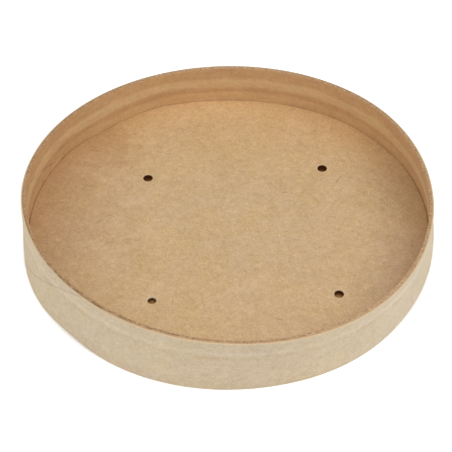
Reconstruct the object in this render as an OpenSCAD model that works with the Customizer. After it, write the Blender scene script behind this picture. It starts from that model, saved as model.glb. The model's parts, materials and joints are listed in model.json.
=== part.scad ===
// Round paper lid for a soup bowl, lying with its open mouth up.
// A wound paper ring of two plies carries a thin board disc, which is set in from
// the closed end and glued by its turned edge. Four small vents are punched through
// the disc. The origin is at the middle of the closed end's rim, and +Z is out of
// the mouth.

/* [Mouth] */
// Clear diameter of the mouth, which slides over the bowl's rolled rim
mouth_d = 150; // [90:1:185]
// Height of the straight band at the mouth
mouth_land = 7.5; // [3:0.5:12]
// Depth from the mouth's rim to the disc
mouth_depth = 17.4; // [14:0.1:30]

/* [Ring] */
// Thickness of the brown board that forms the inside of the ring
inner_ply_t = 1.2; // [0.6:0.1:2]
// Thickness of the pale paper wound round the outside
outer_ply_t = 0.5; // [0.3:0.05:1]
// How far the outer paper stops short of the board at the mouth
outer_ply_setback = 0.4; // [0.1:0.1:1.5]
// How much the ring widens, on its radius, between the mouth band and the disc
belly = 0.7; // [0.2:0.1:2]

/* [Disc] */
// Thickness of the disc's board
disc_t = 0.5; // [0.3:0.05:0.8]
// Outer radius of the bend where the disc turns down into its glued edge
shoulder_r = 1.2; // [0.9:0.1:2]
// Depth of the closed end's recess, from the ring's edge to the disc
closed_recess = 4.6; // [3:0.1:10]
// How far the disc's glued edge stops short of the ring's closed edge
flange_setback = 0.3; // [0.1:0.1:1]

/* [Vents] */
// Diameter of each vent
vent_d = 3.5; // [1:0.1:8]
// Side of the square on which the four vents stand
vent_pitch = 68; // [20:1:74]
// Turn of that square about the lid's axis, in degrees
vent_turn = 3; // [0:0.1:45]
// Distance of the square's middle from the lid's axis, to the right
vent_shift_x = 4.7; // [-6:0.1:6]
// Distance of the square's middle from the lid's axis, to the back
vent_shift_y = -3.3; // [-6:0.1:6]

/* [Hidden] */
$fn = 180;
// Overlap of a cutter past the face that it cuts
cut_over = 1;
// Heights above the closed edge
disc_under_z = closed_recess;
disc_face_z = disc_under_z + disc_t;
rim_z = disc_face_z + mouth_depth;
land_z = rim_z - mouth_land;
// Radii of the ring's inner face at the mouth and where the disc is glued in
mouth_r = mouth_d / 2;
seat_r = mouth_r + belly;
board_brown = [0.72, 0.55, 0.38];
paper_pale = [0.80, 0.73, 0.62];
disc_brown = [0.78, 0.66, 0.50];

// One face of a ply, from the closed edge up: the glued seat, the belly's slope and
// the straight mouth band, all stepped out by r_out
function ply_face(r_out, top_z) = [
    [seat_r + r_out, 0],
    [seat_r + r_out, disc_face_z],
    [mouth_r + r_out, land_z],
    [mouth_r + r_out, top_z]
];

function backwards(points) = [for (i = [len(points) - 1 : -1 : 0]) points[i]];

// A ring of one ply, whose inner face is stepped out by r_out
module ply(r_out, thickness, top_z) {
    rotate_extrude()
        polygon(concat(
            ply_face(r_out, top_z),
            backwards(ply_face(r_out + thickness, top_z))
        ));
}

// The brown board inside the ring, whose cut edge is the mouth's rim
module inner_ply() {
    color(board_brown) ply(0, inner_ply_t, rim_z);
}

// The pale paper glued round the board
module outer_ply() {
    color(paper_pale) ply(inner_ply_t, outer_ply_t, rim_z - outer_ply_setback);
}

// Half section of the disc: its flat, the bend at the wall and the turned edge
module disc_section() {
    bend_x = seat_r - shoulder_r;
    bend_z = disc_face_z - shoulder_r;
    translate([0, disc_under_z]) square([bend_x, disc_t]);
    translate([bend_x, bend_z])
        intersection() {
            difference() {
                circle(r = shoulder_r);
                circle(r = shoulder_r - disc_t);
            }
            square(shoulder_r);
        }
    translate([seat_r - disc_t, flange_setback]) square([disc_t, bend_z - flange_setback]);
}

// The four vents, on a square that is turned and set off the axis
module vents() {
    translate([vent_shift_x, vent_shift_y, disc_under_z - cut_over])
        rotate([0, 0, vent_turn])
            for (x = [-0.5, 0.5], y = [-0.5, 0.5])
                translate([x * vent_pitch, y * vent_pitch, 0])
                    cylinder(d = vent_d, h = disc_t + 2 * cut_over);
}

// The board disc with its turned edge, glued against the inside of the ring
module top_disc() {
    color(disc_brown) difference() {
        rotate_extrude() disc_section();
        vents();
    }
}

inner_ply();
outer_ply();
top_disc();
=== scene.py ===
"""Paper soup bowl lid, lying with its open mouth up: its looks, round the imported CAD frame."""

import json
import math
import random

import bmesh
import bpy
from bpy.props import FloatProperty, FloatVectorProperty, IntProperty, PointerProperty
from mathutils import Color, Matrix, Vector
from mathutils.geometry import delaunay_2d_cdt


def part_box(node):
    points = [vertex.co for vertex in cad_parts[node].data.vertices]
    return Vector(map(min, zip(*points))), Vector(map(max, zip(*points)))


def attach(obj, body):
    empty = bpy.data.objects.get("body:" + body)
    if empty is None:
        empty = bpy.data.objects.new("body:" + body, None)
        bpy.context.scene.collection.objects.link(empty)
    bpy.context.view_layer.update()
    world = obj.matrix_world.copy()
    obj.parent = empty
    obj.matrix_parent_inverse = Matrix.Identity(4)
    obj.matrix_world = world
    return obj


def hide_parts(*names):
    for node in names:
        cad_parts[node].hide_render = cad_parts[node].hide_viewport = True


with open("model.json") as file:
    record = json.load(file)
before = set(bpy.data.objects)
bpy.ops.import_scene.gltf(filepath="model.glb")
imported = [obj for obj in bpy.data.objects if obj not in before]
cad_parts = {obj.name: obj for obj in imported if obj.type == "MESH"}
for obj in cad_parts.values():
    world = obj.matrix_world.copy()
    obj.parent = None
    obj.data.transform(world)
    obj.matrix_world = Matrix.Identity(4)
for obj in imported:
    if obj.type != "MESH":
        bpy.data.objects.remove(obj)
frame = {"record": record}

bl_info = {
    "name": "Paper bowl lid",
    "version": (1, 0, 0),
    "blender": (4, 5, 0),
    "location": "3D View > Sidebar > Paper lid",
    "description": "Builds a wound paper lid with a set-in vented disc, and a white stage for it",
    "category": "Object",
}

MM = 0.001
TURN = 2 * math.pi
VENT_POINTS = 48
# The punch left each vent a little longer from front to back
VENT_STRETCH = 1.07
# Rings round a vent: share of the lip's depth, and how far outside the cut edge, in mm
VENT_RINGS = ((1.0, 0.0), (0.5, 0.0), (0.0, 0.0), (0.0, 0.1), (0.0, 0.25), (0.0, 0.55), (0.0, 0.9))

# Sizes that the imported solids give, in metres
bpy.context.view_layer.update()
RIM_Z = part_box("inner_ply")[1].z
WRAP_EDGE_Z = RIM_Z - 0.04 * MM
DISC_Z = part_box("top_disc")[1].z
FLANGE_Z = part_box("top_disc")[0].z
SEAT_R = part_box("top_disc")[1].x
MOUTH_R = frame["record"]["mounts"][0]["dims"]["r_mm"] * MM
BASE_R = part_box("outer_ply")[1].x
BOARD_BASE_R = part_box("inner_ply")[1].x
BOARD_T = BOARD_BASE_R - SEAT_R
WRAP_T = BASE_R - BOARD_BASE_R
MOUTH_LAND = 7.5 * MM
LAND_Z = RIM_Z - MOUTH_LAND
DISC_T = 0.5 * MM
DISC_BUCKLE = 0.5 * MM

# Slow waves of the hand-shaped ring: waves round the ring, swing in mm, azimuth of a crest
RIM_SAG = ((1, 0.26, -155), (2, 0.24, 42))
RIM_SAG_MEAN = -0.54
RIM_SWAY = ((1, 0.71, 54), (2, 0.87, -46), (3, 0.79, 52), (4, 0.12, 40), (5, 0.07, -35))
RIM_SWAY_MEAN = -0.21
BASE_SWAY = ((1, 0.39, 52), (2, 0.39, 44), (3, 0.55, 41), (4, 0.12, 38), (7, 0.16, -55))
BASE_SWAY_MEAN = -0.02
# Flats in the wall: azimuth and half-width in degrees, depth at the foot and at the rim in mm,
# below 0 where the wall is fuller
DENTS = (
    (-139, 10, 0.80, 0.16),
    (-174, 12, 0.22, 0.0),
    (-120, 12, -0.12, 0.0),
    (-56, 12, -0.12, 0.0),
    (-12, 20, 0.14, 0.0),
    (41, 10, 0.45, -0.14),
    (90, 40, -0.16, -0.03),
    (112, 11, -1.20, 0.0),
    (132, 7, 0.25, 0.0),
    (144, 7, -0.60, 0.0),
    (180, 14, 0.0, -0.15),
)
# The nick in the rim: azimuth, half-width in degrees, depth in mm
NICK = (-150.6, 0.45, 0.30)

# The four punched vents: place, and how deep the punch pressed their near and far edges, in mm
VENTS = (
    (-31.0, 28.0, 0.10, 0.05),
    (36.35, 33.2, 0.08, 0.05),
    (-27.9, -38.3, 0.15, 0.75),
    (40.2, -35.6, 0.15, 0.20),
)

# Dark fibres in the disc's face: middle and length in mm, and turn in degrees
DARK_FIBRES = (
    (68.9, -9.1, 4.6, 84),
    (42.6, 26.6, 5.0, 57),
    (34.0, 54.9, 2.6, -18),
    (40.8, 56.0, 4.2, 88),
    (-34.2, -49.9, 2.4, -20),
    (-61.0, -29.6, 2.0, -55),
    (22.0, 19.7, 2.0, 0),
    (59.6, -21.3, 2.2, -17),
    (18.5, -48.3, 1.9, -16),
)

# Soft lamps: name, place and size in metres, and watts
LAMPS = (
    ("key_lamp", (0.05, -0.60, 0.80), 0.34, 1.5),
    ("right_lamp", (0.60, -0.20, 0.80), 0.75, 3.15),
    ("left_lamp", (-0.60, -0.20, 0.80), 0.75, 1.75),
)
WORLD_LIGHT = 0.515
FLOOR_WHITE = Color((0.96, 0.96, 0.96))
FLOOR_GLOW = 0.41
RECESS_GLOW = 0.19

# The camera: place, aim and focal length in mm, and roll in degrees
CAMERA_PLACE = (-0.90, -522.66, 495.96)
CAMERA_AIM = (-0.90, -17.79, 22.5)
CAMERA_LENS = 151.71
CAMERA_ROLL = -0.196


class Value:
    """A socket of a node tree, so that maths on it is written as plain expressions."""

    def __init__(self, nodes, socket):
        self.nodes = nodes
        self.socket = socket

    def maths(self, operation, *values):
        return self.nodes.add("ShaderNodeMath", {"operation": operation}, dict(enumerate(values)))

    def __add__(self, other):
        return self.maths("ADD", self, other)

    __radd__ = __add__

    def __sub__(self, other):
        return self.maths("SUBTRACT", self, other)

    def __rsub__(self, other):
        return self.maths("SUBTRACT", other, self)

    def __mul__(self, other):
        return self.maths("MULTIPLY", self, other)

    __rmul__ = __mul__

    def __truediv__(self, other):
        return self.maths("DIVIDE", self, other)

    def __rtruediv__(self, other):
        return self.maths("DIVIDE", other, self)

    def __pow__(self, power):
        return self.maths("POWER", self, power)

    def __neg__(self):
        return self.maths("MULTIPLY", self, -1.0)

    def call(self, operation, *others):
        return self.maths(operation, self, *others)

    def step(self, low, high):
        """0 below low, 1 above high and a smooth rise between them."""
        return self.nodes.add(
            "ShaderNodeMapRange", {"interpolation_type": "SMOOTHSTEP"},
            {0: self, 1: low, 2: high, 3: 0.0, 4: 1.0})

    def hump(self, middle, width):
        """1 at middle, falling to about a third at width away from it."""
        away = (self - middle) / width
        return (away * away * -1.0).call("EXPONENT")


class Nodes:
    """A node tree and the methods that add nodes to it."""

    def __init__(self, tree):
        self.tree = tree

    def add(self, kind, settings=None, values=None, out=0):
        node = self.tree.nodes.new(kind)
        for name, value in (settings or {}).items():
            setattr(node, name, value)
        for key, value in (values or {}).items():
            self.give(node.inputs[key], value)
        if out is None:
            return node
        return Value(self, node.outputs[out])

    def give(self, socket, value):
        if isinstance(value, Value):
            self.tree.links.new(value.socket, socket)
        elif isinstance(value, bpy.types.NodeSocket):
            self.tree.links.new(value, socket)
        elif socket.type == "RGBA":
            socket.default_value = (*value[:3], 1.0)
        else:
            socket.default_value = value

    def parts(self, vector):
        """The X, Y and Z of a vector."""
        node = self.add("ShaderNodeSeparateXYZ", None, {0: vector}, out=None)
        return [Value(self, node.outputs[i]) for i in range(3)]

    def vector(self, x, y, z):
        return self.add("ShaderNodeCombineXYZ", None, {0: x, 1: y, 2: z})

    def colour_mix(self, factor, first, second):
        """A mix of two colours, of which a tuple is given as 0 to 255 sRGB."""
        first, second = [linear(*c) if isinstance(c, tuple) else c for c in (first, second)]
        return self.add(
            "ShaderNodeMix", {"data_type": "RGBA"}, {0: factor, 6: first, 7: second}, out=2)

    def stored(self, name, kind="FLOAT"):
        """An attribute of the mesh, for a geometry tree."""
        return self.add("GeometryNodeInputNamedAttribute", {"data_type": kind}, {"Name": name})

    def store(self, geometry, name, value, kind="FLOAT", domain="POINT"):
        """The geometry with the value kept as an attribute."""
        return self.add(
            "GeometryNodeStoreNamedAttribute", {"data_type": kind, "domain": domain},
            {"Geometry": geometry, "Name": name, "Value": value})

    def attribute(self, name, output):
        """An attribute of the piece's mesh, for a shader."""
        node = self.add("ShaderNodeAttribute", {"attribute_name": name}, out=None)
        return Value(self, node.outputs[output])

    def noise(self, vector, scale, detail=2.0, rough=0.5):
        """Noise between 0 and 1, about 0.5 on average."""
        return self.add(
            "ShaderNodeTexNoise", None,
            {"Vector": vector, "Scale": scale, "Detail": detail, "Roughness": rough})


def linear(*srgb):
    """A colour given as 0 to 255 sRGB, in linear light."""
    return tuple(
        c / 255 / 12.92 if c <= 10 else ((c / 255 + 0.055) / 1.055) ** 2.4 for c in srgb)


class LidShape(bpy.types.PropertyGroup):
    """Sizes of what the solids leave to the looks."""

    unevenness: FloatProperty(
        name="Unevenness", description="How much of the hand-shaped ring's slow waves shows",
        default=1.0, min=0.0, max=1.5)
    edge_round: FloatProperty(
        name="Edge rounding", description="Rounding of the cut paper edges",
        default=0.26 * MM, min=0.05 * MM, max=0.5 * MM, unit="LENGTH")
    seam_step: FloatProperty(
        name="Seam step", description="Height of the step where two strips of paper meet",
        default=0.07 * MM, min=0.0, max=0.5 * MM, unit="LENGTH")
    seam_gap: FloatProperty(
        name="Seam gap", description="Depth of the fine gap along a strip's edge",
        default=0.11 * MM, min=0.0, max=0.6 * MM, unit="LENGTH")
    inner_seam: FloatProperty(
        name="Inner seam", description="Azimuth at which the board's seam meets the rim",
        default=math.radians(179.5), subtype="ANGLE")
    outer_seam: FloatProperty(
        name="Outer seam", description="Azimuth at which the outer paper's seam meets the rim",
        default=math.radians(-134.5), subtype="ANGLE")
    seam_rise: FloatProperty(
        name="Seam rise", description="Angle at which the strips are wound",
        default=math.radians(23.3), subtype="ANGLE")
    vent_width: FloatProperty(
        name="Vent width", description="Diameter of each punched vent",
        default=3.5 * MM, min=1 * MM, max=8 * MM, unit="LENGTH")
    pressed_count: IntProperty(
        name="Pressed fibres", description="Fibres that show as fine ridges in the disc's face",
        default=7600, min=0, max=9000)
    fibre_count: IntProperty(
        name="Loose fibres", description="Loose fibres that lie on the disc",
        default=150, min=0, max=2000)
    fuzz_count: IntProperty(
        name="Rim fuzz", description="Short fibres that stand from the cut rim",
        default=600, min=0, max=4000)


class LidFinish(bpy.types.PropertyGroup):
    """Colours of the papers."""

    disc_kraft: FloatVectorProperty(
        name="Disc", description="Colour of the disc's kraft board", subtype="COLOR",
        default=linear(205, 174, 133))
    board_kraft: FloatVectorProperty(
        name="Board", description="Colour of the ring's inside", subtype="COLOR",
        default=linear(215, 180, 138))
    wrap_kraft: FloatVectorProperty(
        name="Outer paper", description="Colour of the pale outer paper", subtype="COLOR",
        default=linear(216, 198, 168))
    glue_brown: FloatVectorProperty(
        name="Glue line", description="Colour of the dark line between the two plies",
        subtype="COLOR", default=linear(112, 80, 52))
    fibre_brown: FloatVectorProperty(
        name="Fibres", description="Colour of the darkest loose fibres", subtype="COLOR",
        default=linear(120, 84, 50))


def shape():
    return bpy.context.scene.lid_shape


def finish_colours():
    return bpy.context.scene.lid_finish


def link(name, mesh):
    """A new object of the mesh, smooth shaded, in the scene."""
    piece = bpy.data.objects.new(name, mesh)
    bpy.context.scene.collection.objects.link(piece)
    for face in mesh.polygons:
        face.use_smooth = True
    return piece


def settle(piece, material, name):
    """Turns the modifiers' result into the piece's own mesh, with one material."""
    bpy.context.view_layer.update()
    graph = bpy.context.evaluated_depsgraph_get()
    mesh = bpy.data.meshes.new_from_object(piece.evaluated_get(graph))
    piece.modifiers.clear()
    piece.data = mesh
    mesh.name = name
    mesh.materials.clear()
    mesh.materials.append(material)
    for face in mesh.polygons:
        face.material_index = 0
        face.use_smooth = True
    if not mesh.polygons:
        raise RuntimeError(name + " came out empty")


def put_on(piece, node):
    """Hangs the piece on the root body and hides the CAD part that it stands for."""
    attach(piece, "root")
    if node:
        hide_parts(node)


def rounded(corner, before, after, radius, steps=3):
    """Points that round a section's corner, from the leg before it to the leg after it."""
    a = (Vector(before) - Vector(corner)).normalized() * radius + Vector(corner)
    b = (Vector(after) - Vector(corner)).normalized() * radius + Vector(corner)
    c = Vector(corner)
    points = []
    for i in range(steps + 1):
        t = i / steps
        points.append(tuple(a * (1 - t) ** 2 + c * 2 * t * (1 - t) + b * t ** 2))
    return points


def dense(points, step):
    """The same line with points no further apart than step."""
    out = [points[0]]
    for a, b in zip(points, points[1:]):
        gap = math.dist(a, b)
        n = max(1, math.ceil(gap / step))
        for i in range(1, n + 1):
            out.append(tuple(a[k] + (b[k] - a[k]) * i / n for k in (0, 1)))
    return out


def outward_mesh(name, verts, faces, facing_up=False):
    """A mesh without loose points, with its normals outwards, or upwards if it is an open sheet."""
    mesh = bpy.data.meshes.new(name)
    mesh.from_pydata(verts, [], faces)
    work = bmesh.new()
    work.from_mesh(mesh)
    loose = [v for v in work.verts if not v.link_faces]
    bmesh.ops.delete(work, geom=loose, context="VERTS")
    bmesh.ops.recalc_face_normals(work, faces=work.faces)
    top = max(work.faces, key=lambda f: abs(f.normal.z))
    if facing_up and top.normal.z < 0:
        bmesh.ops.reverse_faces(work, faces=work.faces)
    work.to_mesh(mesh)
    work.free()
    return mesh


def revolve(name, section, show, steps=1200):
    """Closed ring of a section (r, z); show says how much of the wall's relief each point takes."""
    n = len(section)
    verts, faces = [], []
    for i in range(steps):
        c, s = math.cos(TURN * i / steps), math.sin(TURN * i / steps)
        verts += [(r * c, r * s, z) for r, z in section]
    for i in range(steps):
        j = (i + 1) % steps
        for k in range(n):
            m = (k + 1) % n
            faces.append((i * n + k, j * n + k, j * n + m, i * n + m))
    mesh = outward_mesh(name, verts, faces)
    mesh.attributes.new("relief", "FLOAT", "POINT").data.foreach_set("value", list(show) * steps)
    return mesh


def waves(azimuth, rows, mean):
    """Sum of slow waves round the ring, in metres, as a node expression."""
    total = mean * MM
    for count, swing, crest in rows:
        total = (azimuth * count - math.radians(crest) * count).call("COSINE") * (swing * MM) + total
    return total


def near_azimuth(azimuth, degrees, half_width):
    """1 at an azimuth, falling to about a third at half_width degrees from it, also across 180."""
    turn_away = 1.0 - (azimuth - math.radians(degrees)).call("COSINE")
    return (turn_away * (-2.0 / math.radians(half_width) ** 2)).call("EXPONENT")


def new_tree(name, inputs):
    """A geometry tree with the named inputs: its nodes, the tree, and the inputs as values."""
    kinds = {float: "NodeSocketFloat", int: "NodeSocketInt", type(None): "NodeSocketMaterial"}
    tree = bpy.data.node_groups.new(name, "GeometryNodeTree")
    tree.interface.new_socket("Geometry", in_out="INPUT", socket_type="NodeSocketGeometry")
    for label, default in inputs:
        socket = tree.interface.new_socket(label, in_out="INPUT", socket_type=kinds[type(default)])
        if default is not None:
            socket.default_value = default
    tree.interface.new_socket("Geometry", in_out="OUTPUT", socket_type="NodeSocketGeometry")
    nodes = Nodes(tree)
    group_in = nodes.add("NodeGroupInput", out=None)
    values = {s.name: Value(nodes, s) for s in group_in.outputs if s.name}
    return nodes, tree, values


def end_tree(nodes, geometry, material):
    """Ends a geometry tree: real faces, with their material, go to its output."""
    real = nodes.add("GeometryNodeRealizeInstances", None, {"Geometry": geometry})
    painted = nodes.add("GeometryNodeSetMaterial", None, {"Geometry": real, "Material": material})
    nodes.add("NodeGroupOutput", None, {0: painted}, out=None)


def use_tree(piece, tree, settings):
    """Adds the tree to the piece as a modifier, and sets its inputs by their identifiers."""
    modifier = piece.modifiers.new(tree.name, "NODES")
    modifier.node_group = tree
    for item in tree.interface.items_tree:
        if item.in_out == "INPUT" and item.name in settings:
            modifier[item.identifier] = settings[item.name]


def uneven_tree():
    """Moves any piece of the lid the way its hand-shaped ring is uneven, so all stay in touch."""
    nodes, tree, given = new_tree("Hand-shaped unevenness", [
        ("Amount", 1.0),
        ("Rim height", RIM_Z),
        ("Disc height", DISC_Z),
        ("Seat radius", SEAT_R),
        ("Relief", 0.0),
        ("Disc buckle", 0.0),
        ("Rim drop", 0.0),
        ("Material", None),
    ])
    place = nodes.add("GeometryNodeInputPosition")
    x, y, z = nodes.parts(place)
    azimuth = y.call("ARCTAN2", x)
    cosine, sine = azimuth.call("COSINE"), azimuth.call("SINE")
    radius = (x * x + y * y).call("SQRT")
    share = (z - given["Disc height"]) / (given["Rim height"] - given["Disc height"])
    share = share.call("MAXIMUM", 0.0)
    lean = share * (1.35 - 0.35 * share)
    out_from_axis = (radius / given["Seat radius"]).call("MINIMUM", 1.0) ** 3.0
    sway = waves(azimuth, RIM_SWAY, RIM_SWAY_MEAN) * lean
    sway = sway + waves(azimuth, BASE_SWAY, BASE_SWAY_MEAN) * (1.0 - lean)
    for degrees, half_width, at_foot, at_rim in DENTS:
        depth = (1.0 - lean) * (at_foot * MM) + lean * (at_rim * MM)
        sway = sway - near_azimuth(azimuth, degrees, half_width) * depth
    sag = waves(azimuth, RIM_SAG, RIM_SAG_MEAN) * share
    nick = near_azimuth(azimuth, NICK[0], NICK[1]) * z.step(RIM_Z - 0.6 * MM, RIM_Z)
    sag = sag - nick * (NICK[2] * MM)
    # Cockles of the paper, longest round the ring
    relief = nodes.stored("relief")
    along = nodes.vector(cosine * 2.2, sine * 2.2, z * 170.0)
    cockle = (nodes.noise(along, 2.6, 3.0, 0.6) - 0.5) * given["Relief"] * relief
    new_radius = radius + (sway * given["Amount"] + cockle) * out_from_axis
    # The outer paper's edge sinks below the board's at the front, and is flush with it elsewhere
    drop = (-sine).step(0.15, 0.70) * 0.58
    drop = drop * (1.0 - azimuth.hump(math.radians(-88), math.radians(24)) * 0.75)
    ragged = nodes.noise(nodes.vector(cosine, sine, 0.0), 60.0, 4.0, 0.7)
    near_top = z.step(RIM_Z - 5 * MM, RIM_Z)
    sink = (drop + ragged * 0.16) * near_top * given["Rim drop"]
    # The disc's sheet is a little buckled between its glued edge and its middle
    on_disc = (1.0 - (radius / given["Seat radius"]) ** 6.0).call("MAXIMUM", 0.0)
    buckle = (nodes.noise(place, 28.0, 1.5, 0.5) - 0.5) * given["Disc buckle"] * on_disc
    height = z + sag * given["Amount"] - sink + buckle
    moved = nodes.vector(cosine * new_radius, sine * new_radius, height)
    kept = nodes.store(given["Geometry"], "nominal", place, "FLOAT_VECTOR")
    end_tree(nodes, nodes.add(
        "GeometryNodeSetPosition", None, {"Geometry": kept, "Position": moved}), given["Material"])
    return tree


def seam_tree():
    """Cuts the fine gap and the step of a wound strip's edge into a wall's exposed face."""
    nodes, tree, given = new_tree("Wound strip seam", [
        ("Seam azimuth", 0.0),
        ("Fall", 0.0),
        ("Rim height", RIM_Z),
        ("Across", 0.0),
        ("Step", 0.0),
        ("Gap", 0.0),
        ("Gap width", 0.3 * MM),
        ("Outward", 1.0),
        ("Material", None),
    ])
    place = nodes.add("GeometryNodeInputPosition")
    x, y, z = nodes.parts(place)
    azimuth = y.call("ARCTAN2", x)
    turned = azimuth - given["Seam azimuth"] + (given["Rim height"] - z) * given["Fall"]
    turned = turned - TURN * (turned / TURN + 0.5).call("FLOOR")
    away = turned * given["Across"]
    gap = away.hump(0.0, given["Gap width"]) * given["Gap"]
    raised = away.step(-0.2 * MM, 0.2 * MM) * (1.0 - away.step(2 * MM, 34 * MM))
    relief = nodes.stored("relief")
    shift = (raised * given["Step"] - gap) * relief * given["Outward"]
    offset = nodes.vector(azimuth.call("COSINE") * shift, azimuth.call("SINE") * shift, 0.0)
    marked = nodes.store(given["Geometry"], "seam", away.hump(0.0, 0.25 * MM))
    end_tree(nodes, nodes.add(
        "GeometryNodeSetPosition", None, {"Geometry": marked, "Offset": offset}), given["Material"])
    return tree


def kraft_base(name, roughness):
    """A new material: its nodes, its shader and its Object coordinates."""
    material = bpy.data.materials.new(name)
    material.use_nodes = True
    tree = material.node_tree
    tree.nodes.clear()
    nodes = Nodes(tree)
    shader = nodes.add("ShaderNodeBsdfPrincipled", None, {
        "Roughness": roughness, "Specular IOR Level": 0.25}, out=None)
    nodes.add("ShaderNodeOutputMaterial", None, {"Surface": shader.outputs[0]}, out=None)
    return material, nodes, shader, nodes.attribute("nominal", "Vector")


def fibre_field(nodes, place, turn, length, width):
    """Streaks of pressed fibres in one direction, between 0 and 1."""
    turned = nodes.add(
        "ShaderNodeMapping", {"vector_type": "TEXTURE"},
        {"Vector": place, "Rotation": (0.0, 0.0, turn), "Scale": (length, width, width)})
    return nodes.noise(turned, 1.0, 2.0, 0.55)


def pressed_fibres(nodes, place):
    """Fibres that lie in every direction, as in kraft board: about 0.5 on average."""
    first = fibre_field(nodes, place, 0.3, 2.2 * MM, 0.35 * MM)
    second = fibre_field(nodes, place, 1.5, 2.0 * MM, 0.32 * MM)
    third = fibre_field(nodes, place, 2.5, 2.4 * MM, 0.38 * MM)
    return (first + second + third) / 3.0


def tinted(nodes, colour, amount):
    """The colour made darker or lighter by amount, 0 leaving it as it is; lighter is paler too."""
    share = nodes.vector(amount + 1.0, amount * 1.2 + 1.0, amount * 1.6 + 1.0)
    return nodes.add("ShaderNodeVectorMath", {"operation": "MULTIPLY"}, {0: colour, 1: share})


def kraft_tone(nodes, place, streaks, depth):
    """Light and dark of kraft paper, about 0: clouds, flocs, specks and pressed fibres."""
    clouds = nodes.noise(place, 90.0, 3.0, 0.65)
    flocs = nodes.noise(place, 480.0, 3.0, 0.7)
    specks = nodes.noise(place, 1700.0, 2.0, 0.6)
    tone = (clouds - 0.5) * 0.24 + (flocs - 0.5) * 0.44 + (specks - 0.5) * 0.56
    tone = (tone + (streaks - 0.5) * 0.60) * depth
    return tone, (flocs + specks + streaks) / 3.0


def kraft_hue(nodes, place, base, yellow, pink, share):
    """The colour leaning to yellow in some places and to pink in others."""
    lean = nodes.noise(place, 170.0, 2.0, 0.6).step(0.30, 0.70)
    broad = nodes.noise(place, 48.0, 2.0, 0.5).step(0.30, 0.70)
    tint = nodes.colour_mix((lean + broad) / 2.0, yellow, pink)
    return nodes.colour_mix(share, base, tint)


def paper_surface(nodes, shader, height, strength):
    """Fibre relief and uneven dullness of paper."""
    bump = nodes.add("ShaderNodeBump", None, {
        "Strength": strength, "Distance": 0.15 * MM, "Height": height})
    nodes.give(shader.inputs["Normal"], bump)
    nodes.give(shader.inputs["Roughness"], 0.78 + height * 0.14)


def brown_side(nodes, place):
    """Where the lid's left side is browner, between 0 and 1."""
    x, y, _ = nodes.parts(place)
    edge = (nodes.noise(place, 45.0, 3.0, 0.6) - 0.5) * 26 * MM
    mottle = (nodes.noise(place, 170.0, 3.0, 0.7) - 0.5) * 30 * MM
    across = 1.0 - (x + edge + mottle).step(-64 * MM, -27 * MM)
    return across * (y + edge).step(-48 * MM, -10 * MM)


def disc_finish():
    """Kraft board of the disc: clouds, flocs and fibres, browner pressed edges of the vents, painted
    shade by the walls and down the vents, and painted light along the back.
    """
    material, nodes, shader, place = kraft_base("disc_kraft_board", 0.86)
    x, y, z = nodes.parts(place)
    radius = (x * x + y * y).call("SQRT")
    tone, height = kraft_tone(nodes, place, pressed_fibres(nodes, place), 0.86)
    base = kraft_hue(nodes, place, finish_colours().disc_kraft,
                     (210, 176, 122), (200, 169, 136), 0.4)
    azimuth = y.call("ARCTAN2", x)
    # Painted shade: browner and darker towards the wall, where the wall shades the sheet
    painted_wall_shade = radius.step(SEAT_R - 14 * MM, SEAT_R - 1 * MM)
    base = nodes.colour_mix(painted_wall_shade * 0.25, base, (206, 158, 100))
    # Painted light: warmer and yellower towards the back
    base = nodes.colour_mix(y.step(12 * MM, 66 * MM) * 0.40, base, (212, 169, 115))
    # Painted light: along the back the sheet is painted brighter right up to the wall, lifting the
    # wall's shade
    painted_back_light = radius.step(SEAT_R - 17 * MM, SEAT_R - 3 * MM) * near_azimuth(azimuth, 86, 36)
    base = nodes.colour_mix(painted_back_light * 0.22, base, (238, 205, 150))
    # Browner and darker on the left, greyer at the right front, and darker at the right back as a
    # painted shadow of the right wall
    mottle = (nodes.noise(place, 150.0, 3.0, 0.7) - 0.5) * 26 * MM
    patch = ((x + 51 * MM) ** 2.0 + (y - 47 * MM) ** 2.0).call("SQRT") + mottle
    brown = brown_side(nodes, place).call("MAXIMUM", 1.0 - patch.step(9 * MM, 21 * MM))
    left_brown = nodes.colour_mix(y.step(-32 * MM, 8 * MM), (165, 132, 100), (168, 122, 80))
    base = nodes.colour_mix(brown * 0.38, base, left_brown)
    right = (radius + mottle * 0.7).step(49 * MM, 71 * MM)
    # Painted shadow: the right wall's shadow on the sheet at the right back
    base = nodes.colour_mix(right * near_azimuth(azimuth, 17, 19) * 0.44, base, (158, 122, 86))
    base = nodes.colour_mix(right * near_azimuth(azimuth, -22, 22) * 0.45, base, (184, 153, 130))
    base = tinted(nodes, base, tone + nodes.attribute("tone", "Fac") * 0.19)
    # The punched edges: a paler bruise round each vent, and a cut edge that is dark where the far edge
    # was pressed little and pale where it was pressed deep, painted darker lower down in the hole as
    # painted shade
    for vent_x, vent_y, _, far_dip in VENTS:
        stretched = (y - vent_y * MM) / VENT_STRETCH
        away = (((x - vent_x * MM) ** 2.0 + stretched ** 2.0).call("SQRT") - vent_edge()) / MM
        bruise = (1.0 - away.step(0.1, 0.9)) * 0.25
        inside = 1.0 - away.step(-0.04, 0.03)
        painted_hole_shade = 1.0 - z.step(DISC_Z - 0.75 * MM, DISC_Z - 0.35 * MM)
        base = nodes.colour_mix(bruise, base, (222, 202, 166))
        cut = nodes.colour_mix(min(1.0, 2.5 * far_dip), (60, 38, 20), (212, 196, 168))
        # Painted shade: the cut lip darker lower down in the hole
        cut = nodes.colour_mix(painted_hole_shade * (1.0 - min(1.0, far_dip)), cut, (90, 58, 30))
        base = nodes.colour_mix(inside * 0.9, base, cut)
    nodes.give(shader.inputs["Base Color"], base)
    paper_surface(nodes, shader, height, 0.5)
    return material


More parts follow.
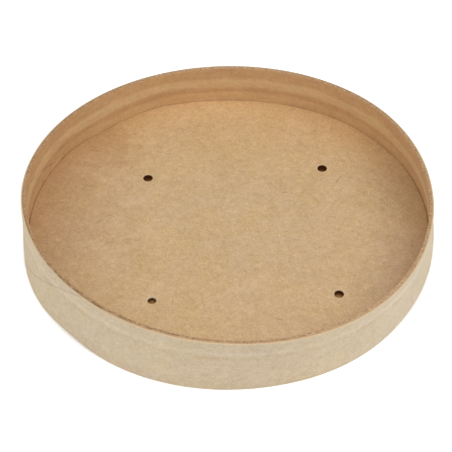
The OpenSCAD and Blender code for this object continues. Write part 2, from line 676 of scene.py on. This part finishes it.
def wound_place(nodes, place, seam, radius):
    """Azimuth, distance across a wound strip from its seam, and height, from the nominal place."""
    x, y, z = nodes.parts(place)
    azimuth = y.call("ARCTAN2", x)
    turned = azimuth - seam + (RIM_Z - z) * fall()
    turned = turned - TURN * (turned / TURN).call("FLOOR")
    return azimuth, turned * (radius * math.sin(shape().seam_rise)), z


def wound_fibres(nodes, away, z):
    """Fibres that run along the wound strip, with finer ones across them."""
    along = z / math.sin(shape().seam_rise)
    first = nodes.noise(nodes.vector(along / (2.4 * MM), away / (0.45 * MM), 0.0), 1.0, 2.0, 0.6)
    second = nodes.noise(nodes.vector(along / (0.6 * MM), away / (1.5 * MM), 7.0), 1.0, 2.0, 0.6)
    return (first + second) / 2.0


def board_finish():
    """Brown board: banded inside wall and a browner, speckled cut rim."""
    material, nodes, shader, place = kraft_base("brown_board", 0.85)
    colours = finish_colours()
    azimuth, away, z = wound_place(nodes, place, shape().inner_seam, SEAT_R)
    x, y, _ = nodes.parts(place)
    radius = (x * x + y * y).call("SQRT")
    below = (RIM_Z - z) / MM
    in_wall = (radius - MOUTH_R) / BOARD_T
    tone, height = kraft_tone(nodes, place, wound_fibres(nodes, away, z), 0.62)
    # Bands that the bowl's rim has rubbed: brown at the mouth, a paler streaked band, brown below
    wobble = (nodes.noise(place, 40.0, 2.0, 0.5) - 0.5) * 2.6
    round_ring = nodes.vector(
        azimuth.call("COSINE") * 7.0, azimuth.call("SINE") * 7.0, below * 0.55)
    long_streaks = nodes.noise(round_ring, 1.0, 4.0, 0.65)
    rubbed = (below + wobble).step(4.4, 6.6) * (1.0 - (below + wobble).step(9.2, 11.0))
    foot = below.step(12.0, 14.0)
    tone = tone + rubbed * 0.13 - 0.05 + (long_streaks - 0.5) * 0.24
    tone = tone + foot * near_azimuth(azimuth, 92, 55) * 0.12
    patchy = nodes.noise(place, 38.0, 2.0, 0.6).step(0.38, 0.60)
    tone = tone - (below + wobble * 0.6).hump(11.7, 0.45) * patchy * 0.055
    # Browner on the left; painted light: lighter at the right and at the far left, lifting the wall's
    # shade there
    tone = tone - brown_side(nodes, place) * 0.06 + near_azimuth(azimuth, -6, 18) * 0.05
    tone = tone + near_azimuth(azimuth, -174, 15) * 0.07
    base = kraft_hue(nodes, place, colours.board_kraft,
                     (214, 173, 118), (204, 160, 122), 0.6)
    base = nodes.colour_mix(foot * 0.4, base, (212, 178, 128))
    base = nodes.colour_mix(rubbed * (long_streaks * 0.6 + 0.25), base, (212, 184, 138))
    base = tinted(nodes, base, tone)
    broken = nodes.noise(place, 110.0, 1.0, 0.5).step(0.40, 0.56)
    seam = nodes.attribute("seam", "Fac")
    base = nodes.colour_mix(seam * broken * 0.45, base, (110, 74, 44))
    # The cut rim: brown board with dark specks, darker on the left and at one winding's edge
    speckle = nodes.noise(place, 1150.0, 3.0, 0.75)
    cut = (1.0 - below.step(0.05, 0.22)).call("MAXIMUM", in_wall.step(0.90, 0.98))
    rim_colour = nodes.colour_mix(speckle.step(0.30, 0.68), (152, 117, 84), (202, 166, 128))
    left = (-azimuth.call("COSINE")).step(0.2, 0.9)
    rim_tone = near_azimuth(azimuth, -50, 32) * 0.13 + near_azimuth(azimuth, -112, 30) * 0.07
    rim_tone = rim_tone + near_azimuth(azimuth, 92, 24) * 0.10 - left * 0.05 - 0.02
    rim_colour = tinted(nodes, rim_colour, rim_tone)
    rim_colour = nodes.colour_mix(in_wall.step(0.88, 1.0) * 0.55, rim_colour, (216, 188, 148))
    base = nodes.colour_mix(cut, base, rim_colour)
    winding = 0.80 - azimuth.hump(math.radians(-85), math.radians(26)) * 0.26
    winding = winding + (nodes.noise(place, 30.0, 2.0, 0.5) - 0.5) * 0.4
    ragged = nodes.noise(place, 430.0, 3.0, 0.7)
    winding = winding + (ragged - 0.5) * 0.7
    dark_edge = ((in_wall - winding) / 0.24).hump(0.0, 1.0) * cut * ragged.step(0.34, 0.56)
    front = azimuth.hump(math.radians(-115), math.radians(42))
    dark_edge = dark_edge * (front * 0.60 + left * 0.25 + 0.08)
    base = nodes.colour_mix(dark_edge, base, colours.glue_brown)
    nodes.give(shader.inputs["Base Color"], base)
    paper_surface(nodes, shader, height, 0.5)
    return material


def wrap_finish():
    """Pale outer paper: greyer at the mouth, tanner below, streaked along its winding."""
    material, nodes, shader, place = kraft_base("pale_kraft_paper", 0.82)
    colours = finish_colours()
    azimuth, away, z = wound_place(nodes, place, shape().outer_seam, BASE_R)
    below = (RIM_Z - z) / MM
    streaks = nodes.noise(nodes.vector(z / (30 * MM), away / (1.6 * MM), 3.0), 1.0, 3.0, 0.6)
    tone, height = kraft_tone(nodes, place, wound_fibres(nodes, away, z), 0.60)
    tone = tone + (streaks - 0.5) * 0.14
    wobble = (nodes.noise(place, 45.0, 2.0, 0.5) - 0.5) * 1.4
    lower = (below + wobble).step(7.0, 8.6)
    base = nodes.colour_mix(lower, (216, 199, 172), colours.wrap_kraft)
    base = kraft_hue(nodes, place, base, (220, 199, 161), (214, 194, 172), 0.5)
    blotched = nodes.noise(place, 130.0, 3.0, 0.6).step(0.40, 0.62)
    tone = tone + (below + wobble * 0.5).hump(5.4, 0.8) * 0.06
    tone = tone - (below + wobble * 0.5).hump(7.6, 0.7) * blotched * 0.05
    base = nodes.colour_mix((below + wobble * 0.5).hump(7.6, 0.8) * blotched * 0.28, base,
                            (214, 178, 132))
    # Darker at the front and lighter at the left; painted light: paler at the right front, where the
    # lamps' light falls on the wall
    tone = tone - near_azimuth(azimuth, -88, 27) * 0.05 + near_azimuth(azimuth, -172, 26) * 0.04
    base = nodes.colour_mix(near_azimuth(azimuth, -26, 26) * 0.36, base, (222, 210, 190))
    base = tinted(nodes, base, tone)
    seam = nodes.attribute("seam", "Fac")
    base = nodes.colour_mix(seam * 0.30, base, (128, 102, 74))
    # The cut edge shows the sheet's cleaner core
    cut = 1.0 - below.step(0.08, 0.30)
    behind = azimuth.call("SINE").step(0.0, 0.6)
    base = nodes.colour_mix(
        cut, base, nodes.colour_mix(behind, (220, 194, 155), (200, 170, 132)))
    nodes.give(shader.inputs["Base Color"], base)
    paper_surface(nodes, shader, height, 0.4)
    return material


def fibre_finish():
    """Loose kraft fibres, some pale and some dark."""
    material, nodes, shader, _ = kraft_base("loose_fibre", 0.8)
    tone = nodes.attribute("tone", "Fac")
    base = nodes.colour_mix(tone.step(0.05, 0.25), finish_colours().fibre_brown, (190, 152, 108))
    base = nodes.colour_mix(tone.step(0.45, 0.95), base, (226, 202, 166))
    nodes.give(shader.inputs["Base Color"], base)
    return material


def dark_fibre_finish():
    """Dark brown fibres pressed into the disc."""
    material, nodes, shader, place = kraft_base("dark_fibre", 0.8)
    tone = nodes.noise(place, 500.0, 2.0, 0.6)
    nodes.give(shader.inputs["Base Color"],
               nodes.colour_mix(tone, finish_colours().fibre_brown, (150, 112, 74)))
    return material


def fall():
    """How far a seam turns, in radians, for each metre of height."""
    return 1.0 / (SEAT_R * math.tan(shape().seam_rise))


def shape_wall(piece, material, seam, outward, drop):
    """Gives a ply its seam, then the ring's unevenness."""
    sizes = shape()
    use_tree(piece, seam_tree(), {
        "Seam azimuth": seam, "Fall": fall(), "Across": SEAT_R * math.sin(sizes.seam_rise),
        "Step": sizes.seam_step, "Gap": sizes.seam_gap, "Outward": outward, "Material": material})
    use_tree(piece, uneven_tree(), {
        "Amount": sizes.unevenness, "Relief": 0.25 * MM, "Rim drop": drop, "Material": material})
    settle(piece, material, piece.name)


class LID_OT_board_ring(bpy.types.Operator):
    """Build the brown board ring, whose cut edge is the mouth's rim"""

    bl_idname = "lid.board_ring"
    bl_label = "Board ring"

    def execute(self, context):
        sizes = shape()
        e = sizes.edge_round
        top_out = (MOUTH_R + BOARD_T, RIM_Z)
        inner = [(SEAT_R, 0.0), (SEAT_R, DISC_Z - 2 * MM)]
        wall = dense([(SEAT_R, DISC_Z - 1.5 * MM), (SEAT_R, DISC_Z), (MOUTH_R, LAND_Z),
                      (MOUTH_R, RIM_Z - e)], 0.42 * MM)
        rim = rounded((MOUTH_R, RIM_Z), (MOUTH_R, RIM_Z - 1), (MOUTH_R + 1, RIM_Z), e)
        rim = rim[1:] + dense([(MOUTH_R + 0.4 * MM, RIM_Z), (top_out[0] - 0.2 * MM, RIM_Z)], 0.2 * MM)
        shoulder = rounded(top_out, (0, RIM_Z), (top_out[0], 0), 0.12 * MM)[1:]
        outer = [(top_out[0], RIM_Z - 1.2 * MM), (top_out[0], LAND_Z),
                 (SEAT_R + BOARD_T, DISC_Z), (SEAT_R + BOARD_T, 0.15 * MM)]
        foot = [(SEAT_R + BOARD_T - 0.15 * MM, 0.0), (SEAT_R + 0.15 * MM, 0.0)]
        section = inner[1:] + wall + rim + shoulder + outer + foot + [(SEAT_R, 0.15 * MM)]
        show = [0.0] + [1.0] * len(wall) + [0.4] * len(rim) + [0.0] * (
            len(section) - 1 - len(wall) - len(rim))
        piece = link("board_ring", revolve("board_ring", section, show))
        shape_wall(piece, board_finish(), sizes.inner_seam, -1.0, 0.0)
        put_on(piece, "inner_ply")
        return {"FINISHED"}


class LID_OT_paper_wrap(bpy.types.Operator):
    """Build the pale paper that is wound round the board"""

    bl_idname = "lid.paper_wrap"
    bl_label = "Outer paper"

    def execute(self, context):
        sizes = shape()
        e = 0.12 * MM
        top_r = MOUTH_R + BOARD_T
        wall = dense([(BASE_R, 0.12 * MM), (BASE_R, DISC_Z), (top_r + WRAP_T, LAND_Z),
                      (top_r + WRAP_T, WRAP_EDGE_Z - e)], 0.45 * MM)
        edge = rounded((top_r + WRAP_T, WRAP_EDGE_Z), (top_r + WRAP_T, 0), (0, WRAP_EDGE_Z), e)[1:]
        edge += rounded((top_r, WRAP_EDGE_Z), (top_r + 1, WRAP_EDGE_Z), (top_r, 0), 0.06 * MM)
        inner = [(top_r, WRAP_EDGE_Z - 1 * MM), (top_r, WRAP_EDGE_Z - 2.5 * MM),
                 (top_r, WRAP_EDGE_Z - 4.5 * MM), (top_r, LAND_Z),
                 (SEAT_R + BOARD_T, DISC_Z), (SEAT_R + BOARD_T, 0.1 * MM)]
        foot = [(SEAT_R + BOARD_T + 0.1 * MM, 0.0), (BASE_R - 0.12 * MM, 0.0)]
        section = wall + edge + inner + foot
        show = [1.0] * len(wall) + [0.5] * len(edge) + [0.0] * (len(inner) + len(foot))
        piece = link("paper_wrap", revolve("paper_wrap", section, show))
        shape_wall(piece, wrap_finish(), sizes.outer_seam, 1.0, MM)
        put_on(piece, "outer_ply")
        return {"FINISHED"}


def vent_edge():
    """Radius at which the disc's face turns down into a vent, rounded by the punch."""
    return shape().vent_width / 2 + 0.12 * MM


def disc_sheet_mesh(name):
    """The disc's upper face with its vents, its bend and its turned edge, as one open sheet."""
    bend = 0.7 * MM
    flat_r = SEAT_R - bend
    around = 480
    vent_r = vent_edge()
    points, edges, sinks, holes = [], [], [], []
    for i in range(around):
        a = TURN * i / around
        points.append(Vector((flat_r * math.cos(a), flat_r * math.sin(a))))
        sinks.append(0.0)
        edges.append((i, (i + 1) % around))
    # Rings of points round each vent: the face dips, then the punched lip hangs into the hole
    vents = [Vector((x * MM, y * MM)) for x, y, _, _ in VENTS]
    for centre, (_, _, near, far) in zip(vents, VENTS):
        for dip, reach in VENT_RINGS:
            start = len(points)
            for i in range(VENT_POINTS):
                a = TURN * i / VENT_POINTS
                depth = near + (far - near) * (1 + math.sin(a)) / 2
                depth += 0.05 * math.sin(3 * a + centre.x * 900) + 0.03 * math.sin(7 * a)
                out = vent_r + (reach - dip * (0.05 + 0.5 * depth)) * MM
                face = 0.08 * math.exp(-(reach / 0.2) ** 2) if not dip else 0.08
                points.append(centre + Vector((math.cos(a), math.sin(a) * VENT_STRETCH)) * out)
                sinks.append((face + dip * depth) * MM)
                edges.append((start + i, start + (i + 1) % VENT_POINTS))
            if dip == 1.0:
                holes.append(start)
    rng = random.Random(11)
    pitch = 1.5 * MM
    half = int(flat_r / pitch) + 1
    for i in range(-half, half + 1):
        for j in range(-half, half + 1):
            p = Vector([(n + rng.uniform(-0.25, 0.25)) * pitch for n in (i, j)])
            near_vent = any((p - c).length < vent_r + 1.5 * MM for c in vents)
            if p.length > flat_r - 0.9 * MM or near_vent:
                continue
            points.append(p)
            sinks.append(0.0)
    out_points, _, faces, kept, _, _ = delaunay_2d_cdt(points, edges, [], 0, 1e-8)
    sink_of = [sinks[k[0]] if k else 0.0 for k in kept]
    verts = [(p.x, p.y, DISC_Z - s) for p, s in zip(out_points, sink_of)]
    # A triangle whose three points all lie on one vent's innermost ring fills the hole
    ring_of = {}
    for start in holes:
        for i in range(start, start + VENT_POINTS):
            ring_of[i] = start
    hole_of = [ring_of.get(k[0]) if k else None for k in kept]
    faces = [f for f in faces if hole_of[f[0]] is None or len({hole_of[i] for i in f}) > 1]
    # The bend and the turned edge go down from the flat's outer loop
    loop = [(flat_r + bend * math.sin(t), DISC_Z - bend * (1 - math.cos(t)))
            for t in [math.pi / 2 * i / 8 for i in range(1, 9)]]
    loop += dense([loop[-1], (SEAT_R, FLANGE_Z)], 0.6 * MM)[1:]
    order = loop_of(out_points, flat_r)
    above = order
    for r, z in loop:
        below = []
        for i in order:
            a = math.atan2(out_points[i].y, out_points[i].x)
            below.append(len(verts))
            verts.append((r * math.cos(a), r * math.sin(a), z))
        n = len(order)
        faces += [(above[k], below[k], below[(k + 1) % n], above[(k + 1) % n]) for k in range(n)]
        above = below
    return outward_mesh(name, verts, faces, facing_up=True)


def loop_of(points, radius):
    """The points on the flat's outer loop, in order round it."""
    on = [i for i, p in enumerate(points) if abs(p.length - radius) < 0.02 * MM]
    return sorted(on, key=lambda i: math.atan2(points[i].y, points[i].x))


class LID_OT_disc_sheet(bpy.types.Operator):
    """Build the vented board disc with its turned edge"""

    bl_idname = "lid.disc_sheet"
    bl_label = "Disc"

    def execute(self, context):
        piece = link("disc_sheet", disc_sheet_mesh("disc_sheet"))
        wall = piece.modifiers.new("Board thickness", "SOLIDIFY")
        wall.thickness = DISC_T
        wall.offset = -1.0
        material = disc_finish()
        use_tree(piece, uneven_tree(), {
            "Amount": shape().unevenness, "Disc buckle": DISC_BUCKLE, "Material": material})
        settle(piece, material, "disc_sheet")
        put_on(piece, "top_disc")
        return {"FINISHED"}


def to_pick_from(nodes, shapes):
    """The shapes as instances, in their order."""
    joined = nodes.add("GeometryNodeGeometryToInstance")
    for body in reversed(shapes):
        nodes.tree.links.new(body.socket, joined.socket.node.inputs[0])
    return joined


def fibre_shapes(nodes, thickness):
    """Three bowed fibres, 1 mm long, as instances to pick from."""
    shapes = []
    profile = nodes.add(
        "GeometryNodeCurvePrimitiveCircle", {"mode": "RADIUS"}, {"Resolution": 4, "Radius": thickness})
    for bow in (0.10, 0.28, 0.50):
        line = nodes.add("GeometryNodeCurveQuadraticBezier", None, {
            "Resolution": 6, "Start": (-0.5 * MM, 0.0, 0.0),
            "Middle": (0.1 * MM, bow * MM, 0.02 * MM), "End": (0.5 * MM, 0.0, 0.0)})
        shapes.append(nodes.add("GeometryNodeCurveToMesh", None, {
            "Curve": line, "Profile Curve": profile, "Fill Caps": True}))
    return to_pick_from(nodes, shapes)


def ridge_shapes(nodes, thickness):
    """Three bowed ridges, 1 mm long and flat below, as instances to pick from."""
    shapes = []
    for bow, swing in ((0.10, 0.0), (0.24, 0.1), (0.05, 0.35)):
        strip = nodes.add("GeometryNodeMeshGrid", None, {
            "Size X": MM, "Size Y": 2.0 * thickness, "Vertices X": 6, "Vertices Y": 3})
        x, y, _ = nodes.parts(nodes.add("GeometryNodeInputPosition"))
        u = x / (0.5 * MM)
        taper = 1.0 - u * u * u * u * 0.8
        aside = (1.0 - u * u) * (bow * MM) + (u * u * u - u) * (swing * MM)
        height = (1.0 - (y / thickness).call("ABSOLUTE")) * taper * (thickness * 0.5)
        shapes.append(nodes.add("GeometryNodeSetPosition", None, {
            "Geometry": strip, "Position": nodes.vector(x, y * taper + aside, height + 0.02 * MM)}))
    return to_pick_from(nodes, shapes)


def scatter_tree(name, material, shapes):
    """Scatters fibres on the faces between two heights, each with a turn, tilt, length and tone."""
    nodes, tree, given = new_tree(name, [
        ("Per square metre", 1000.0),
        ("Seed", 1),
        ("Lowest", 0.0),
        ("Outermost", 1.0),
        ("Ceiling", 1.0),
        ("Darkest", 0.0),
        ("Shortest", 0.5),
        ("Longest", 2.0),
        ("Tilt", 0.0),
        ("Thickness", 0.03 * MM),
    ])
    x, y, z = nodes.parts(nodes.stored("nominal", "FLOAT_VECTOR"))
    _, _, up = nodes.parts(nodes.add("GeometryNodeInputNormal"))
    radius = (x * x + y * y).call("SQRT")
    chosen = z.call("GREATER_THAN", given["Lowest"]) * radius.call("LESS_THAN", given["Outermost"])
    chosen = chosen * up.call("GREATER_THAN", -0.4)
    spread = nodes.add(
        "GeometryNodeDistributePointsOnFaces", {"distribute_method": "RANDOM"},
        {"Mesh": given["Geometry"], "Selection": chosen, "Density": given["Per square metre"],
         "Seed": given["Seed"]}, out=None)
    turn = nodes.vector(
        random_value(nodes, given["Seed"] + 3, -1.0, 1.0) * given["Tilt"],
        random_value(nodes, given["Seed"] + 4, -1.0, 1.0) * given["Tilt"],
        random_value(nodes, given["Seed"] + 5, 0.0, TURN))
    turned = nodes.add("FunctionNodeRotateRotation", {"rotation_space": "LOCAL"},
                       {0: spread.outputs["Rotation"], 1: turn})
    chance = random_value(nodes, given["Seed"] + 6, 0.0, 1.0)
    size = given["Shortest"] + (given["Longest"] - given["Shortest"]) * chance * chance
    placed = nodes.add("GeometryNodeInstanceOnPoints", None, {
        "Points": spread.outputs["Points"], "Instance": shapes(nodes, given["Thickness"]),
        "Pick Instance": True, "Rotation": turned, "Scale": nodes.vector(size, size, 1.0)})
    tone = random_value(nodes, given["Seed"] + 7, 0.0, 1.0) * (1.0 - given["Darkest"])
    toned = nodes.store(placed, "tone", tone + given["Darkest"], domain="INSTANCE")
    real = nodes.add("GeometryNodeRealizeInstances", None, {"Geometry": toned})
    # No fibre stands above the rim
    x, y, z = nodes.parts(nodes.add("GeometryNodeInputPosition"))
    lowered = nodes.vector(x, y, z.call("MINIMUM", given["Ceiling"]))
    end_tree(nodes, nodes.add(
        "GeometryNodeSetPosition", None, {"Geometry": real, "Position": lowered}), material)
    return tree


def random_value(nodes, seed, low, high):
    """A number drawn for each point or instance."""
    node = nodes.add("FunctionNodeRandomValue", {"data_type": "FLOAT"}, out=None)
    plain = [i for i in node.inputs if i.enabled and i.name in ("Min", "Max")]
    plain[0].default_value = low
    plain[1].default_value = high
    nodes.give(node.inputs["Seed"], seed)
    result = [o for o in node.outputs if o.enabled][0]
    return Value(nodes, result)


def scatter(name, on, material, settings, shapes=fibre_shapes):
    """A piece of loose fibres that lie on another piece."""
    piece = link(name, bpy.data.objects[on].data.copy())
    use_tree(piece, scatter_tree(name, material, shapes), settings)
    settle(piece, material, name)
    put_on(piece, None)


def dark_fibre_mesh(name):
    """The few dark fibres that show in the disc's face, each a thin bowed strand half sunk in it."""
    verts, faces = [], []
    rng = random.Random(5)
    for x, y, length, turn in DARK_FIBRES:
        bow = rng.uniform(-0.12, 0.12) * length
        c, s = math.cos(math.radians(turn)), math.sin(math.radians(turn))
        n, first = 9, len(verts)
        for i in range(n):
            t = i / (n - 1)
            along, aside = (t - 0.5) * length, bow * (1 - (2 * t - 1) ** 2)
            thick = 0.07 * math.sqrt(max(0.05, 1 - (2 * t - 1) ** 4))
            for k in range(4):
                a = TURN * (k + 0.5) / 4
                u, v = along, aside + thick * math.cos(a)
                verts.append(((x + u * c - v * s) * MM, (y + u * s + v * c) * MM,
                              DISC_Z + thick * (0.3 + math.sin(a)) * MM))
        for i in range(n - 1):
            for k in range(4):
                m = (k + 1) % 4
                p = first + i * 4
                faces.append((p + k, p + m, p + 4 + m, p + 4 + k))
        faces.append((first, first + 1, first + 2, first + 3))
        last = first + (n - 1) * 4
        faces.append((last + 3, last + 2, last + 1, last))
    return outward_mesh(name, verts, faces)


class LID_OT_loose_fibres(bpy.types.Operator):
    """Scatter the paper's loose fibres over the disc, the cut rim and the outer paper's edge"""

    bl_idname = "lid.loose_fibres"
    bl_label = "Loose fibres"

    def execute(self, context):
        sizes = shape()
        material = fibre_finish()
        area = math.pi * SEAT_R * SEAT_R
        scatter("pressed_fibres", "disc_sheet", bpy.data.materials["disc_kraft_board"], {
            "Per square metre": sizes.pressed_count / area, "Seed": 11, "Lowest": DISC_Z - 0.02 * MM,
            "Outermost": SEAT_R - 1.5 * MM, "Shortest": 0.7, "Longest": 2.9, "Darkest": -1.0,
            "Thickness": 0.042 * MM}, ridge_shapes)
        scatter("disc_fibres", "disc_sheet", material, {
            "Per square metre": sizes.fibre_count / area, "Seed": 21, "Lowest": DISC_Z - 0.05 * MM,
            "Shortest": 0.6, "Longest": 3.2, "Darkest": 0.12, "Tilt": 0.03,
            "Thickness": 0.03 * MM})
        rim_area = TURN * MOUTH_R * 2.4 * MM
        scatter("rim_fuzz", "board_ring", material, {
            "Per square metre": sizes.fuzz_count / rim_area, "Seed": 31, "Darkest": 0.3,
            "Lowest": RIM_Z - 0.30 * MM, "Shortest": 0.25, "Longest": 0.9, "Tilt": 0.5,
            "Ceiling": RIM_Z, "Thickness": 0.025 * MM})
        scatter("paper_edge_fuzz", "paper_wrap", material, {
            "Per square metre": sizes.fuzz_count / rim_area, "Seed": 41, "Darkest": 0.4,
            "Lowest": WRAP_EDGE_Z - 0.16 * MM, "Shortest": 0.2, "Longest": 0.7, "Tilt": 0.5,
            "Ceiling": RIM_Z, "Thickness": 0.02 * MM})
        dark = link("dark_fibres", dark_fibre_mesh("dark_fibres"))
        dark_material = dark_fibre_finish()
        use_tree(dark, uneven_tree(), {
            "Amount": sizes.unevenness, "Disc buckle": DISC_BUCKLE, "Material": dark_material})
        settle(dark, dark_material, "dark_fibres")
        put_on(dark, None)
        return {"FINISHED"}


class LID_OT_stage(bpy.types.Operator):
    """Set the white floor, the soft lamps and the camera"""

    bl_idname = "lid.stage"
    bl_label = "Stage"

    def execute(self, context):
        scene = context.scene
        mesh = bpy.data.meshes.new("floor")
        mesh.from_pydata([(-6, -6, 0), (6, -6, 0), (6, 6, 0), (-6, 6, 0)], [], [(0, 1, 2, 3)])
        floor = bpy.data.objects.new("floor", mesh)
        scene.collection.objects.link(floor)
        mesh.materials.append(floor_finish())
        for row in LAMPS:
            add_lamp(*row)
        add_world(scene)
        add_camera(scene)
        scene.view_settings.view_transform = "Standard"
        return {"FINISHED"}


def background_rays(nodes):
    """1 for the rays that see the background: the camera's and those of gloss and glass."""
    path = nodes.add("ShaderNodeLightPath", out=None)
    camera, gloss, glass = [Value(nodes, path.outputs[name]) for name in (
        "Is Camera Ray", "Is Glossy Ray", "Is Transmission Ray")]
    return (camera + gloss + glass).call("MINIMUM", 1.0)


def floor_finish():
    """White floor that keeps the lid's shadow and shows white to the camera; open from below.

    A little glow under the lid, for bounced light only, keeps the closed recess from being black.
    """
    material = bpy.data.materials.new("white_floor")
    material.use_nodes = True
    material.cycles.emission_sampling = "NONE"
    tree = material.node_tree
    tree.nodes.clear()
    nodes = Nodes(tree)
    path = nodes.add("ShaderNodeLightPath", out=None)
    camera_ray = Value(nodes, path.outputs["Is Camera Ray"])
    bounced = Value(nodes, path.outputs["Is Diffuse Ray"])
    x, y, _ = nodes.parts(nodes.add("ShaderNodeTexCoord", out="Object"))
    radius = (x * x + y * y).call("SQRT")
    beside = radius.step(BASE_R - 1.5 * MM, BASE_R + 1 * MM)
    # Painted light: under the lid, where only the vents show it, the floor is painted the brown of the
    # board's bounced light
    under = 1.0 - radius.step(SEAT_R - 9 * MM, SEAT_R - 6 * MM)
    # Painted light: behind each vent a brighter patch of floor is painted as the pool of light which
    # falls in through it
    lit = 0.0
    for vent_x, vent_y, _, far_dip in VENTS:
        patch = ((x - vent_x * MM) ** 2.0 + (y - (vent_y + 3.3) * MM) ** 2.0).call("SQRT")
        lit = (1.0 - patch.step(0.6 * MM, 2.3 * MM)) * min(1.0, 0.4 + 4 * (far_dip - 0.05)) + lit
    brown = nodes.colour_mix(lit, (128, 84, 50), (255, 204, 138))
    paint = nodes.add("ShaderNodeBsdfDiffuse", None, {
        "Color": nodes.colour_mix(under, FLOOR_WHITE, brown)})
    strength = beside * background_rays(nodes) * FLOOR_GLOW + under * bounced * RECESS_GLOW
    glow = nodes.add("ShaderNodeEmission", None, {"Color": (1, 1, 1), "Strength": strength})
    surface = nodes.add("ShaderNodeAddShader", None, {0: paint, 1: glow})
    back = Value(nodes, nodes.add("ShaderNodeNewGeometry", out=None).outputs["Backfacing"])
    clear = nodes.add("ShaderNodeBsdfTransparent")
    mixed = nodes.add("ShaderNodeMixShader", None, {0: back * camera_ray, 1: surface, 2: clear})
    nodes.add("ShaderNodeOutputMaterial", None, {"Surface": mixed}, out=None)
    return material


def add_lamp(name, place, size, watts):
    """A soft square lamp that faces the lid."""
    lamp = bpy.data.lights.new(name, "AREA")
    lamp.size = size
    lamp.energy = watts
    item = bpy.data.objects.new(name, lamp)
    item.location = place
    item.rotation_euler = (Vector((0, 0, 0.01)) - Vector(place)).to_track_quat("-Z", "Y").to_euler()
    item.visible_camera = False
    bpy.context.scene.collection.objects.link(item)


def add_world(scene):
    """Even light from all round, which the camera sees as plain white."""
    world = bpy.data.worlds.new("studio")
    scene.world = world
    world.use_nodes = True
    tree = world.node_tree
    tree.nodes.clear()
    nodes = Nodes(tree)
    seen = background_rays(nodes)
    light = nodes.add("ShaderNodeBackground", None, {
        "Color": (1, 1, 1), "Strength": seen * (1 - WORLD_LIGHT) + WORLD_LIGHT})
    nodes.add("ShaderNodeOutputWorld", None, {"Surface": light}, out=None)


def add_camera(scene):
    """The camera at the photo's viewing angle."""
    data = bpy.data.cameras.new("photo_camera")
    camera = bpy.data.objects.new("photo_camera", data)
    scene.collection.objects.link(camera)
    place = Vector(CAMERA_PLACE) * MM
    aim = Vector(CAMERA_AIM) * MM
    ahead = (aim - place).normalized()
    right = Vector((1, 0, 0))
    up = right.cross(ahead)
    roll = math.radians(CAMERA_ROLL)
    side = right * math.cos(roll) + up * math.sin(roll)
    up = up * math.cos(roll) - right * math.sin(roll)
    turn = Matrix((side, up, -ahead)).transposed()
    camera.matrix_world = Matrix.Translation(place) @ turn.to_4x4()
    data.sensor_width = 36.0
    data.lens = CAMERA_LENS
    data.clip_start = 0.01
    data.clip_end = 50.0
    scene.camera = camera


class LID_PT_panel(bpy.types.Panel):
    """Sizes, colours and pieces of the paper lid"""

    bl_idname = "LID_PT_panel"
    bl_label = "Paper lid"
    bl_space_type = "VIEW_3D"
    bl_region_type = "UI"
    bl_category = "Paper lid"

    def draw(self, context):
        layout = self.layout
        for group in (context.scene.lid_shape, context.scene.lid_finish):
            box = layout.box()
            for name in group.__annotations__:
                box.prop(group, name)
        for operator in OPERATORS:
            layout.operator(operator.bl_idname)


OPERATORS = (LID_OT_board_ring, LID_OT_paper_wrap, LID_OT_disc_sheet, LID_OT_loose_fibres,
             LID_OT_stage)
CLASSES = (LidShape, LidFinish, *OPERATORS, LID_PT_panel)


def register():
    for item in CLASSES:
        bpy.utils.register_class(item)
    bpy.types.Scene.lid_shape = PointerProperty(type=LidShape)
    bpy.types.Scene.lid_finish = PointerProperty(type=LidFinish)


def unregister():
    del bpy.types.Scene.lid_finish
    del bpy.types.Scene.lid_shape
    for item in reversed(CLASSES):
        bpy.utils.unregister_class(item)


def main():
    register()
    bpy.ops.lid.board_ring()
    bpy.ops.lid.paper_wrap()
    bpy.ops.lid.disc_sheet()
    bpy.ops.lid.loose_fibres()
    bpy.ops.lid.stage()


if __name__ == "__main__":
    main()
